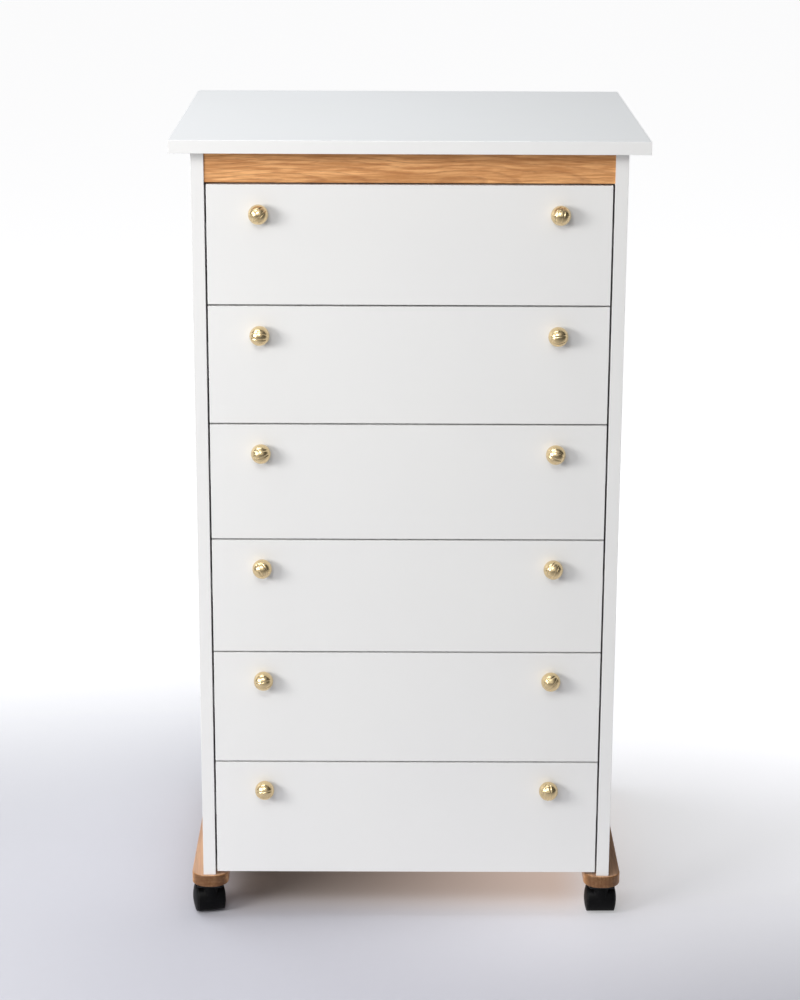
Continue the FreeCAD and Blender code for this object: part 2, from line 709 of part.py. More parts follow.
channels = []
for index in range(DRAWER_COUNT):
    label = f"drawer_{index + 1}"
    height = "bottom_front_height" if index == DRAWER_COUNT - 1 else "front_height"
    node(drawer_front(label, index, height), f"{label}_front")
    node(drawer_box(label, index), f"{label}_box")
    node(group(f"{label}_knob_pair", [
        knob(f"{label}_knob_{name}", index, side, turn)
        for name, side, turn in zip(("left", "right"), (-1, 1), KNOB_TURNS[index])]),
        f"{label}_knobs")
    slide_z = f"{front_top(index)} - slide_drop"
    middles = []
    inners = []
    for name, side in (("left", -1), ("right", 1)):
        channels.append(c_section(f"{label}_channel_{name}", side, "0", "channel_lip",
                                  "slide_height", slide_z))
        web = "slide_sheet + web_space"
        middles.append(c_section(f"{label}_middle_{name}", side, web, f"{web} + middle_lip",
                                 "middle_height", slide_z))
        inners.append(c_section(f"{label}_inner_{name}", side, "slide_width",
                                "slide_width - inner_lip", "inner_height", slide_z))
    node(group(f"{label}_middle_pair", middles), f"{label}_slide_middle")
    node(group(f"{label}_inner_pair", inners), f"{label}_slide_inner")
node(group("channel_group", channels), "slide_channels")


# ---------------------------------------------------------------------------
# Check every object and write each piece to its own file

doc.recompute()
failed = [thing.Name for thing in doc.Objects
          if "Invalid" in thing.State or "Error" in thing.State]
if failed:
    raise RuntimeError(f"objects that did not build: {failed}")

labels = [piece.Label for piece in nodes]
if len(set(labels)) != len(labels):
    raise RuntimeError("two pieces have the same name")

for piece in nodes:
    if piece.Shape.isNull() or not piece.Shape.isValid():
        raise RuntimeError(f"{piece.Label} has no valid shape")
    if not piece.Shape.Solids:
        raise RuntimeError(f"{piece.Label} holds no solid")

for piece in nodes:
    piece.Shape.exportStep(f"parts/{piece.Label}.step")

print(f"{len(nodes)} nodes, {sum(len(piece.Shape.Solids) for piece in nodes)} solids")
for piece in nodes:
    print(f"{piece.Label}: {len(piece.Shape.Solids)} solids, {piece.Shape.Volume:.0f} mm3")
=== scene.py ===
import json
import math

import bmesh
import bpy
from mathutils import Matrix, Vector


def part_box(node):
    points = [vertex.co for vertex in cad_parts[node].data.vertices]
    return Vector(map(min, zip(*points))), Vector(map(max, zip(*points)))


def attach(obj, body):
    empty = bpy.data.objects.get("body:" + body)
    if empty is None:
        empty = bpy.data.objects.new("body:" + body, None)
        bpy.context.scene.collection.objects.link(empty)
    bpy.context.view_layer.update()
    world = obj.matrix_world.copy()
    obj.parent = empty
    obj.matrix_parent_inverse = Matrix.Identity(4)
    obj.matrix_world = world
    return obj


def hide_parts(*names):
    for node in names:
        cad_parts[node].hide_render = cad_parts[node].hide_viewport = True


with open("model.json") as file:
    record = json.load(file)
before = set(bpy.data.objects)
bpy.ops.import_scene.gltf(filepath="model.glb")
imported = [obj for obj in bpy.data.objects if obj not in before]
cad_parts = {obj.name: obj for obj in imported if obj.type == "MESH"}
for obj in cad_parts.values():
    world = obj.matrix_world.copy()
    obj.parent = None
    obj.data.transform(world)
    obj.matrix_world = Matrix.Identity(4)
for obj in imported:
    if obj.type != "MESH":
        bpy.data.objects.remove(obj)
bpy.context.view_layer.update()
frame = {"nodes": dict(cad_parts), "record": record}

# A white chest of six drawers with oak trim, brass ball knobs and twin-wheel casters.
# Metres, +Z up, the drawers open towards -Y.

DRAWERS = [f"drawer_{number}" for number in range(1, 7)]
CASTERS = ("caster_front_left", "caster_front_right", "caster_rear_left", "caster_rear_right")
MM = 0.001


# ---------------------------------------------------------------------------
# Camera

CAMERA_PLACE = Vector((-0.02095, -3.70118, 1.63910))
CAMERA_PITCH = math.radians(16.043)
CAMERA_YAW = math.radians(0.159)
CAMERA_ROLL = math.radians(0.241)
CAMERA_LENS = 91.13


def add_camera():
    camera = bpy.data.objects.new("camera", bpy.data.cameras.new("camera"))
    camera.data.lens = CAMERA_LENS
    camera.data.clip_end = 100
    level = Matrix.Rotation(math.pi / 2 - CAMERA_PITCH, 4, "X")
    turn = Matrix.Rotation(-CAMERA_YAW, 4, "Z") @ level @ Matrix.Rotation(CAMERA_ROLL, 4, "Z")
    camera.matrix_world = Matrix.Translation(CAMERA_PLACE) @ turn
    bpy.context.collection.objects.link(camera)
    bpy.context.scene.camera = camera


# ---------------------------------------------------------------------------
# Shader tools

def make(tree, kind, inputs=None, **settings):
    """A shader node with its settings, and its inputs set to values or linked to sockets."""
    node = tree.nodes.new(kind)
    for name, value in settings.items():
        setattr(node, name, value)
    for name, value in (inputs or {}).items():
        if isinstance(value, bpy.types.NodeSocket):
            tree.links.new(value, node.inputs[name])
        else:
            node.inputs[name].default_value = value
    return node


def math_node(tree, operation, first, second=0.0):
    node = make(tree, "ShaderNodeMath", {0: first, 1: second}, operation=operation)
    return node.outputs[0]


def ramp(tree, factor, *stops):
    """A colour ramp from pairs of position and colour, or of position and grey."""
    node = make(tree, "ShaderNodeValToRGB", {"Fac": factor})
    points = node.color_ramp.elements
    while len(points) < len(stops):
        points.new(0.5)
    for point, (position, tone) in zip(points, stops):
        point.position = position
        point.color = (tone, tone, tone, 1) if isinstance(tone, (int, float)) else (*tone, 1)
    return node.outputs["Color"]


def smooth_step(tree, value, start, end):
    """0 at the start and 1 at the end, with a smooth change between them."""
    node = make(tree, "ShaderNodeMapRange", {"Value": value, "From Min": start, "From Max": end},
                interpolation_type="SMOOTHSTEP")
    return node.outputs["Result"]


def mix_colour(tree, factor, first, second):
    node = make(tree, "ShaderNodeMix", data_type="RGBA")
    for index, value in ((0, factor), (6, first), (7, second)):
        if isinstance(value, bpy.types.NodeSocket):
            tree.links.new(value, node.inputs[index])
        elif index == 0:
            node.inputs[index].default_value = value
        else:
            node.inputs[index].default_value = (*value, 1)
    return node.outputs[2]


def object_coordinates(tree, scale=(1, 1, 1), turn=(0, 0, 0), shift=(0, 0, 0)):
    """The piece's own coordinates in metres, shifted, turned and stretched."""
    place = make(tree, "ShaderNodeTexCoord").outputs["Object"]
    node = make(tree, "ShaderNodeMapping",
                {"Vector": place, "Location": shift, "Rotation": turn, "Scale": scale})
    return node.outputs["Vector"]


def new_group(name, inputs, outputs):
    """A node group with named sockets; inputs are triples of name, kind and default."""
    tree = bpy.data.node_groups.new(name, "ShaderNodeTree")
    for label, kind, default in inputs:
        socket = tree.interface.new_socket(label, in_out="INPUT", socket_type=f"NodeSocket{kind}")
        if kind != "Vector":
            socket.default_value = default
    for label, kind in outputs:
        tree.interface.new_socket(label, in_out="OUTPUT", socket_type=f"NodeSocket{kind}")
    return tree, tree.nodes.new("NodeGroupInput").outputs, tree.nodes.new("NodeGroupOutput").inputs


def use_group(tree, group, inputs):
    node = tree.nodes.new("ShaderNodeGroup")
    node.node_tree = group
    for name, value in inputs.items():
        if isinstance(value, bpy.types.NodeSocket):
            tree.links.new(value, node.inputs[name])
        else:
            node.inputs[name].default_value = value
    return node.outputs


def new_material(name, **constants):
    """A material with one Principled shader, whose constants are set on its sockets."""
    material = bpy.data.materials.new(name)
    material.use_nodes = True
    tree = material.node_tree
    shader = tree.nodes["Principled BSDF"]
    for label, value in constants.items():
        shader.inputs[label.replace("_", " ")].default_value = value
    return material, tree, shader.inputs


def bump(tree, height, strength, distance):
    node = make(tree, "ShaderNodeBump",
                {"Height": height, "Strength": strength, "Distance": distance})
    return node.outputs["Normal"]


# ---------------------------------------------------------------------------
# Effects that several materials share

def board_face_group():
    """Pressed film on a board: a slow change of tone and a fine pebbled surface."""
    tree, given, made = new_group(
        "board_face",
        (("Vector", "Vector", None), ("Pebble Size", "Float", 900.0)),
        (("Tone", "Float"), ("Pebble", "Float")))
    slow = make(tree, "ShaderNodeTexNoise",
                {"Vector": given["Vector"], "Scale": 3.5, "Detail": 3.0, "Roughness": 0.55})
    fine = make(tree, "ShaderNodeTexNoise",
                {"Vector": given["Vector"], "Scale": given["Pebble Size"], "Detail": 2.0})
    tree.links.new(slow.outputs["Fac"], made["Tone"])
    tree.links.new(fine.outputs["Fac"], made["Pebble"])
    return tree


OAK_PALE = (0.95, 0.525, 0.225)
OAK_FIBRE = (0.57, 0.255, 0.090)
OAK_STREAK = (0.47, 0.205, 0.066)
OAK_RING = (0.33, 0.125, 0.040)
OAK_PORE = (0.16, 0.058, 0.018)
# Darkens what faces along Y: partly the darker end grain, partly painted shade.
OAK_END_GRAIN_AND_SHADE = (0.055, 0.018, 0.004)
# A paler colour for faces that don't face along Y: a painted sheen.
OAK_SIDE_SHEEN = (0.50, 0.36, 0.29)


def oak_group():
    """Oak with its grain along X: growth rings cut at a slant, fine fibres and open pores."""
    tree, given, made = new_group(
        "oak_grain",
        (("Vector", "Vector", None), ("Ring Size", "Float", 120.0), ("Darkness", "Float", 0.0)),
        (("Color", "Color"), ("Roughness", "Float"), ("Height", "Float")))
    vector = given["Vector"]
    sway = make(tree, "ShaderNodeTexNoise", {"Vector": vector, "Scale": 4.0, "Detail": 2.0})
    swayed = make(tree, "ShaderNodeVectorMath",
                  {0: sway.outputs["Color"], 1: (0.5, 0.5, 0.5)}, operation="SUBTRACT")
    eased = make(tree, "ShaderNodeVectorMath",
                 {0: swayed.outputs[0], 1: (0.0, 0.035, 0.035)}, operation="MULTIPLY")
    bent = make(tree, "ShaderNodeVectorMath", {0: vector, 1: eased.outputs[0]}, operation="ADD")
    rings = make(tree, "ShaderNodeTexWave",
                 {"Vector": bent.outputs[0], "Scale": given["Ring Size"], "Distortion": 1.3,
                  "Detail": 3.0, "Detail Scale": 0.35, "Detail Roughness": 0.6},
                 wave_type="RINGS", rings_direction="X", wave_profile="SAW")
    along = make(tree, "ShaderNodeMapping", {"Vector": vector, "Scale": (9.0, 330.0, 330.0)})
    fibre = make(tree, "ShaderNodeTexNoise",
                 {"Vector": along.outputs[0], "Scale": 1.0, "Detail": 5.0, "Roughness": 0.62})
    broad = make(tree, "ShaderNodeMapping", {"Vector": vector, "Scale": (2.5, 90.0, 90.0)})
    streak = make(tree, "ShaderNodeTexNoise",
                  {"Vector": broad.outputs[0], "Scale": 1.0, "Detail": 3.0, "Roughness": 0.5})
    pored = make(tree, "ShaderNodeMapping", {"Vector": vector, "Scale": (38.0, 900.0, 900.0)})
    pore_cells = make(tree, "ShaderNodeTexVoronoi",
                      {"Vector": pored.outputs[0], "Scale": 1.0, "Randomness": 1.0})
    late = ramp(tree, rings.outputs["Fac"], (0.0, 0.0), (0.55, 0.12), (0.86, 0.85), (1.0, 0.25))
    pore = ramp(tree, pore_cells.outputs["Distance"], (0.0, 1.0), (0.32, 0.0))
    pore_zone = math_node(tree, "MULTIPLY", pore, math_node(tree, "ADD", late, 0.25))
    fibres = ramp(tree, fibre.outputs["Fac"], (0.38, 0.0), (0.62, 1.0))
    light = mix_colour(tree, fibres, OAK_PALE, OAK_FIBRE)
    streaks = ramp(tree, streak.outputs["Fac"], (0.35, 0.0), (0.65, 0.7))
    streaked = mix_colour(tree, streaks, light, OAK_STREAK)
    ringed = mix_colour(tree, math_node(tree, "MULTIPLY", late, 0.5), streaked, OAK_RING)
    with_pores = mix_colour(tree, math_node(tree, "MULTIPLY", pore_zone, 0.7), ringed, OAK_PORE)
    # Darkness mixes towards the end colour: partly darker end grain, partly painted shade.
    shade = mix_colour(tree, given["Darkness"], with_pores, OAK_END_GRAIN_AND_SHADE)
    rough = math_node(tree, "ADD", math_node(tree, "MULTIPLY", pore_zone, 0.2), 0.46)
    height = math_node(tree, "SUBTRACT", math_node(tree, "MULTIPLY", fibres, 0.35), pore_zone)
    tree.links.new(shade, made["Color"])
    tree.links.new(rough, made["Roughness"])
    tree.links.new(height, made["Height"])
    return tree


def metal_finish_group():
    """Fine brushed lines and the faint smudges that hands leave on metal."""
    tree, given, made = new_group(
        "metal_finish",
        (("Vector", "Vector", None), ("Base", "Float", 0.3), ("Spread", "Float", 0.1)),
        (("Roughness", "Float"), ("Lines", "Float"), ("Smudge", "Float")))
    lines = make(tree, "ShaderNodeTexNoise",
                 {"Vector": given["Vector"], "Scale": 1.0, "Detail": 4.0, "Roughness": 0.6})
    smudge = make(tree, "ShaderNodeTexNoise",
                  {"Vector": given["Vector"], "Scale": 0.25, "Detail": 3.0})
    amount = math_node(tree, "MULTIPLY", smudge.outputs["Fac"], given["Spread"])
    tree.links.new(math_node(tree, "ADD", given["Base"], amount), made["Roughness"])
    tree.links.new(lines.outputs["Fac"], made["Lines"])
    tree.links.new(smudge.outputs["Fac"], made["Smudge"])
    return tree


def moulded_group():
    """Moulded plastic: a fine spark-eroded skin and dust that settles on what faces up."""
    tree, given, made = new_group(
        "moulded_skin",
        (("Vector", "Vector", None), ("Skin Size", "Float", 1800.0), ("Dust", "Float", 0.2)),
        (("Skin", "Float"), ("Dust", "Float")))
    skin = make(tree, "ShaderNodeTexNoise",
                {"Vector": given["Vector"], "Scale": given["Skin Size"], "Detail": 2.0})
    patches = make(tree, "ShaderNodeTexNoise",
                   {"Vector": given["Vector"], "Scale": 140.0, "Detail": 4.0})
    normal = make(tree, "ShaderNodeNewGeometry").outputs["Normal"]
    up = make(tree, "ShaderNodeSeparateXYZ", {"Vector": normal}).outputs["Z"]
    facing = ramp(tree, up, (0.2, 0.0), (1.0, 1.0))
    patchy = ramp(tree, patches.outputs["Fac"], (0.35, 0.0), (0.75, 1.0))
    settled = math_node(tree, "MULTIPLY", math_node(tree, "MULTIPLY", facing, patchy),
                        given["Dust"])
    tree.links.new(skin.outputs["Fac"], made["Skin"])
    tree.links.new(settled, made["Dust"])
    return tree


# ---------------------------------------------------------------------------
# Materials

def board_material(name, group, light, dark, roughness, pebble, depth):
    """A coated board: two near tones, a satin film and its fine pebble."""
    material, tree, shader = new_material(name)
    face = use_group(tree, group, {"Vector": object_coordinates(tree), "Pebble Size": pebble})
    tone = ramp(tree, face["Tone"], (0.35, 0.0), (0.65, 1.0))
    tree.links.new(mix_colour(tree, tone, light, dark), shader["Base Color"])
    rough = math_node(tree, "ADD", math_node(tree, "MULTIPLY", face["Tone"], 0.08), roughness)
    tree.links.new(rough, shader["Roughness"])
    tree.links.new(bump(tree, face["Pebble"], 0.25, depth), shader["Normal"])
    return material


def oak_material(name, group, turn, shift, ring_size, end_grain_and_shade=0.0, side_sheen=0.0):
    """Oiled oak, with the log's middle beside the piece and its axis turned from the grain.

    What faces along Y can be darkened, partly as end grain is and partly as painted shade, and what
    doesn't can be made paler as a painted sheen.
    """
    material, tree, shader = new_material(name, Specular_IOR_Level=0.4)
    vector = object_coordinates(tree, turn=turn, shift=shift)
    normal = make(tree, "ShaderNodeNewGeometry").outputs["Normal"]
    facing = make(tree, "ShaderNodeSeparateXYZ", {"Vector": normal}).outputs
    # Faces along Y: darkened partly as end grain, partly as painted shade.
    end = smooth_step(tree, math_node(tree, "ABSOLUTE", facing["Y"]), 0.1, 0.75)
    grain = use_group(tree, group, {"Vector": vector, "Ring Size": ring_size,
                                    "Darkness": math_node(tree, "MULTIPLY", end, end_grain_and_shade)})
    # Painted sheen: faces that don't face along Y are made paler.
    side = smooth_step(tree, math_node(tree, "ABSOLUTE", facing["Y"]), 0.5, 0.0)
    tree.links.new(mix_colour(tree, math_node(tree, "MULTIPLY", side, side_sheen), grain["Color"],
                              OAK_SIDE_SHEEN), shader["Base Color"])
    tree.links.new(grain["Roughness"], shader["Roughness"])
    tree.links.new(bump(tree, grain["Height"], 0.35, 0.0002), shader["Normal"])
    return material


def metal_material(name, group, tint, shade, stretch, base, spread, relief):
    """A metal with its finish lines, stretched along the way that it was polished."""
    material, tree, shader = new_material(name, Metallic=1.0)
    finish = use_group(tree, group, {"Vector": object_coordinates(tree, scale=stretch),
                                     "Base": base, "Spread": spread})
    tree.links.new(mix_colour(tree, finish["Smudge"], tint, shade), shader["Base Color"])
    tree.links.new(finish["Roughness"], shader["Roughness"])
    tree.links.new(bump(tree, finish["Lines"], relief, 0.00005), shader["Normal"])
    return material


def plastic_material(name, group, tone, dusty, roughness, skin, dust):
    material, tree, shader = new_material(name, Specular_IOR_Level=0.12)
    face = use_group(tree, group, {"Vector": object_coordinates(tree), "Skin Size": skin,
                                   "Dust": dust})
    tree.links.new(mix_colour(tree, face["Dust"], tone, dusty), shader["Base Color"])
    rough = math_node(tree, "ADD", math_node(tree, "MULTIPLY", face["Dust"], 0.3), roughness)
    tree.links.new(rough, shader["Roughness"])
    tree.links.new(bump(tree, face["Skin"], 0.3, 0.0001), shader["Normal"])
    return material


# Values of each metal: tint, shade, stretch of its lines, roughness, its spread and relief.
METALS = {
    "brass": ((0.84, 0.67, 0.40), (0.77, 0.59, 0.32), (900.0, 900.0, 900.0), 0.22, 0.06, 0.03),
    "zinc_steel": ((0.70, 0.71, 0.72), (0.60, 0.61, 0.63), (900.0, 40.0, 900.0), 0.30, 0.14,
                   0.12),
    # The caster plates' steel is near black: painted shade under the runners.
    "plate_painted_shade": ((0.030, 0.030, 0.032), (0.022, 0.022, 0.024), (900.0, 900.0, 900.0), 0.45,
                    0.10, 0.05),
}


def build_materials():
    board, oak = board_face_group(), oak_group()
    metal, moulded = metal_finish_group(), moulded_group()
    return {
        "white_board": board_material("white_board", board, (0.80, 0.80, 0.79),
                                      (0.79, 0.79, 0.785), 0.34, 900.0, 0.0001),
        "drawer_board": board_material("drawer_board", board, (0.80, 0.80, 0.785),
                                       (0.785, 0.785, 0.77), 0.40, 900.0, 0.0001),
        "hardboard": board_material("hardboard", board, (0.74, 0.735, 0.71),
                                    (0.70, 0.695, 0.67), 0.55, 1400.0, 0.0003),
        "oak_rail": oak_material("oak_rail", oak, (0, 0, math.radians(3.2)),
                                 (0.0, 0.262, -1.098), 55.0),
        # The runner's ends are darkened, partly as end grain and partly as painted shade, and its
        # other faces get a painted sheen.
        "oak_runner": oak_material("oak_runner", oak, (0, 0, math.radians(87.5)),
                                   (0.02, 0.3, 0.0), 55.0, 0.8, 0.55),
        "beech": oak_material("beech", oak, (0, 0, 0), (0, 0, 0), 80.0),
        **{name: metal_material(name, metal, *values) for name, values in METALS.items()},
        "hood_plastic": plastic_material("hood_plastic", moulded, (0.001, 0.001, 0.0013),
                                         (0.02, 0.019, 0.019), 0.42, 2600.0, 0.08),
        "wheel_plastic": plastic_material("wheel_plastic", moulded, (0.003, 0.003, 0.0035),
                                          (0.035, 0.034, 0.033), 0.48, 2000.0, 0.12),
    }


NODE_MATERIALS = {
    "white_board": "white_board", "drawer_board": "drawer_board", "hardboard": "hardboard",
    "beech": "beech", "brass": "brass", "zinc_steel": "zinc_steel",
    "black_plastic": "hood_plastic", "wheel_plastic": "wheel_plastic",
}


def dress_nodes(materials):
    """Give every CAD node the material of its slot; oak has two cuts, and the caster plates are near
    black as painted shade.
    """
    slots = {part["node"]: part["material_slot"] for part in frame["record"]["subparts"]}
    for name, piece in frame["nodes"].items():
        if slots[name] == "oak":
            finish = "oak_rail" if name == "front_rail" else "oak_runner"
        # Painted shade: the caster plates are dressed near black, as the shadow under the runners.
        elif name == "caster_plates":
            finish = "plate_painted_shade"
        else:
            finish = NODE_MATERIALS[slots[name]]
        for slot in piece.material_slots:
            slot.material = materials[finish]


# ---------------------------------------------------------------------------
# Mesh tools

SHARP_ANGLE = math.radians(35)


def as_data(mesh, name):
    """Turn a bmesh into mesh data, with its normals outward."""
    bmesh.ops.remove_doubles(mesh, verts=mesh.verts, dist=1e-6)
    bmesh.ops.recalc_face_normals(mesh, faces=mesh.faces)
    data = bpy.data.meshes.new(name)
    mesh.to_mesh(data)
    mesh.free()
    return data


def add_copy(mesh, data, matrix):
    """Add a placed copy of mesh data to a bmesh from which nothing has been deleted."""
    before = len(mesh.verts)
    mesh.from_mesh(data)
    mesh.verts.ensure_lookup_table()
    bmesh.ops.transform(mesh, verts=mesh.verts[before:], matrix=matrix)


def finished(mesh, name, material, body):
    """Turn a bmesh into a piece that rides on a body."""
    data = as_data(mesh, name)
    data.shade_smooth()
    data.set_sharp_from_angle(angle=SHARP_ANGLE)
    data.materials.append(material)
    piece = bpy.data.objects.new(name, data)
    bpy.context.collection.objects.link(piece)
    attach(piece, body)
    return piece


def spun(mesh, profile, steps, matrix):
    """Add a closed solid turned about Z, from points of radius and height, then placed."""
    verts = [mesh.verts.new(matrix @ Vector((radius, 0, height))) for radius, height in profile]
    edges = [mesh.edges.new(pair) for pair in zip(verts, verts[1:])]
    bmesh.ops.spin(mesh, geom=verts + edges, cent=matrix.translation,
                   axis=matrix.to_3x3() @ Vector((0, 0, 1)), angle=2 * math.pi, steps=steps,
                   use_merge=True)


def arc(centre, radius, first, last, steps):
    """Points on an arc, with angles in degrees."""
    points = []
    for step in range(steps + 1):
        angle = math.radians(first + (last - first) * step / steps)
        points.append((centre[0] + radius * math.cos(angle), centre[1] + radius * math.sin(angle)))
    return points


def sharp_edges(mesh):
    return [edge for edge in mesh.edges
            if len(edge.link_faces) == 2 and edge.calc_face_angle(0) > SHARP_ANGLE]


def soften(mesh, width):
    """Round the sharp edges of a closed mesh."""
    bmesh.ops.bevel(mesh, geom=sharp_edges(mesh), offset=width, offset_type="OFFSET",
                    segments=2, profile=0.5, affect="EDGES", material=-1)


# ---------------------------------------------------------------------------
# Knobs

KNOB_TURNS = ((40, 77), (-8, 186), (18, -22), (-60, 65), (187, 45), (182, 90))
FLUTE_TILTS = (-12, 30)
FLUTE_REACH = 1.5 * MM
FLUTE_DEPTH = 0.6 * MM
FLUTE_FADE = 0.08
BALL_RADIUS = 13.9 * MM
BALL_FLAT = 4.4 * MM
FOOT_RADIUS = 7.5 * MM
FOOT_HEIGHT = 1.6 * MM


def flute_depth(spot):
    """How deep the flutes cut at a spot on the ball; they run out towards its two sides."""
    depth = 0.0
    run_out = min(1.0, (1 - abs(spot.x) / BALL_RADIUS) / FLUTE_FADE)
    for tilt in map(math.radians, FLUTE_TILTS):
        ahead = Vector((0, -math.cos(tilt), math.sin(tilt)))
        across = Vector((0, math.sin(tilt), math.cos(tilt)))
        if spot.dot(ahead) > 0:
            nearness = max(0.0, 1 - (spot.dot(across) / FLUTE_REACH) ** 2)
            depth = max(depth, FLUTE_DEPTH * run_out * nearness ** 0.75)
    return depth


def plain_knob():
    """A knob at the origin with its ridge on X: a ball fluted on -Y, flat on +Y, on its foot."""
    mesh = bmesh.new()
    bmesh.ops.create_uvsphere(mesh, u_segments=200, v_segments=72, radius=BALL_RADIUS,
                              matrix=Matrix.Rotation(math.pi / 2, 4, "Y"))
    for vert in mesh.verts:
        vert.co *= 1 - flute_depth(vert.co) / BALL_RADIUS
    everything = mesh.verts[:] + mesh.edges[:] + mesh.faces[:]
    back = BALL_RADIUS - BALL_FLAT
    trimmed = bmesh.ops.bisect_plane(mesh, geom=everything, dist=1e-7, plane_co=(0, back, 0),
                                     plane_no=(0, 1, 0), clear_outer=True)
    rim = [item for item in trimmed["geom_cut"] if isinstance(item, bmesh.types.BMEdge)]
    bmesh.ops.edgeloop_fill(mesh, edges=rim)
    ease = 0.3 * MM
    foot = [(0, back - ease), (FOOT_RADIUS - ease, back - ease), (FOOT_RADIUS, back),
            (FOOT_RADIUS, back + FOOT_HEIGHT - ease), (FOOT_RADIUS - ease, back + FOOT_HEIGHT),
            (0, back + FOOT_HEIGHT)]
    spun(mesh, foot, 64, Matrix.Rotation(-math.pi / 2, 4, "X"))
    return as_data(mesh, "plain_knob")


def knob_pair(label, turns, plain, material):
    """Both knobs of a drawer, each turned to its own angle, where the CAD knobs are."""
    low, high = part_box(f"{label}_knobs")
    front_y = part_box(f"{label}_front")[0][1]
    middle_y = front_y - FOOT_HEIGHT - BALL_RADIUS + BALL_FLAT
    middle_z = (low[2] + high[2]) / 2
    mesh = bmesh.new()
    for x, turn in zip((low[0] + BALL_RADIUS, high[0] - BALL_RADIUS), turns):
        add_copy(mesh, plain, Matrix.Translation((x, middle_y, middle_z))
                 @ Matrix.Rotation(-math.radians(turn), 4, "Y"))
    piece = finished(mesh, f"{label}_knob_pair", material, label)
    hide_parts(f"{label}_knobs")


def build_knobs(material):
    plain = plain_knob()
    for label, turns in zip(DRAWERS, KNOB_TURNS):
        knob_pair(label, turns, plain, material)
    bpy.data.meshes.remove(plain)


# ---------------------------------------------------------------------------
# Casters

HOOD_EASE = 0.7 * MM
# The wheel's domed face, in millimetres: its radius, and how far in its centre lies.
DOME_RADIUS = 58.5
DOME_CENTRE = 34.6


def wheel_profile():
    """Radius and height outward from the caster's middle, in millimetres."""
    def crown(radius):
        return math.sqrt(DOME_RADIUS ** 2 - radius ** 2) - DOME_CENTRE

    inner = [(0, 17.9), (3.05, 17.9), (3.05, 9.4), (7.0, 9.4), (7.6, 10.0), (15.4, 10.0),
             (16.0, 9.4)]
    tread = arc((18.5, 10.9), 1.5, -90, 0, 5) + arc((18.5, 19.4), 1.5, 0, 90, 5)
    seam = [(17.7, 21.1), (17.4, 20.5), (16.9, 20.5), (16.6, 21.45)]
    face = [(radius, crown(radius)) for radius in (15.5, 14, 12, 10, 8, 6.5, 5.2, 4.4)]
    hub = [(4.2, crown(4.2) - 0.35), (3.8, crown(3.8) - 0.35), (3.5, crown(3.5)), (1.8, 23.87),
           (0, 23.9)]
    return [(radius * MM, height * MM) for radius, height in inner + tread + seam + face + hub]


def wheel(joint, material):
    """A wheel on its own axle end: rounded tread, a seam round the domed face and a hub ring."""
    name = joint["child"]
    side = -1 if name.endswith("left") else 1
    outward = Vector(joint["axis"]) * side
    mesh = bmesh.new()
    place = Matrix.Translation(joint["pos_m"]) @ outward.to_track_quat("Z", "Y").to_matrix().to_4x4()
    spun(mesh, wheel_profile(), 112, place)
    piece = finished(mesh, f"{name}_turned", material, name)
    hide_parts(name)


def hood(label, material):
    """The hood with its moulded edges rounded."""
    name = f"{label}_hood"
    mesh = bmesh.new()
    mesh.from_mesh(frame["nodes"][name].data)
    bmesh.ops.remove_doubles(mesh, verts=mesh.verts, dist=1e-6)
    bmesh.ops.dissolve_limit(mesh, angle_limit=math.radians(0.5), verts=mesh.verts,
                             edges=mesh.edges)
    soften(mesh, HOOD_EASE)
    piece = finished(mesh, f"{name}_moulded", material, label)
    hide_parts(name)


def build_casters(materials):
    for label in CASTERS:
        hood(label, materials["hood_plastic"])
    for joint in frame["record"]["behaviour"]["joints"]:
        if "wheel" in joint["name"]:
            wheel(joint, materials["wheel_plastic"])


# ---------------------------------------------------------------------------
# Floor and light

FLOOR_RADIUS = 40.0
# Colours of the floor: painted shade near the chest, the pale floor far from it, a warm painted
# shadow below it, and a darker painted shade well before it that bounces less light onto the lower
# fronts.
FLOOR_NEAR_SHADE = (0.54, 0.537, 0.59)
FLOOR_FAR = (0.74, 0.74, 0.76)
FLOOR_UNDER_SHADOW = (0.40, 0.345, 0.31)
FLOOR_FRONT_SHADE = (0.40, 0.395, 0.40)
# The near floor's painted shade is a pool about a point; its colour gives way to the far floor
# between two distances.
SHADE_POOL_MIDDLE = (0.35, -0.45, 0.0)
SHADE_POOL_REACH = (0.3, 2.0)
# Each pair below is where a change starts and where it is complete, along X or Y.
FRONT_SHADE_ALONG = (-0.5, -1.3)
BACKDROP_GLOW = 0.8
BACKDROP_ALONG = (0.0, 1.45)
# Painted light: the floor glows to the right of the chest and partly under it, lifting the chest's
# shadow there.
PAINTED_FILL_GLOW = 0.56
FILL_ACROSS = (-0.25, 0.40)
FILL_ALONG = (-0.75, 0.1)
FILL_FADE = (1.1, 0.4)
# Painted shadow under the chest: there the floor is warm brown, and its glow is tinted warm as
# painted bounce light.
UNDER_LEFT = (-0.31, -0.22)
UNDER_RIGHT = (0.31, 0.22)
UNDER_FRONT = (-0.27, -0.14)
UNDER_BACK = (0.5, 0.25)
UNDER_GLOW_TINT = (1.0, 0.80, 0.70)


def within(tree, amount, steps):
    """An amount that fades across each of several steps of value, start and end."""
    for value, start, end in steps:
        amount = math_node(tree, "MULTIPLY", smooth_step(tree, value, start, end), amount)
    return amount


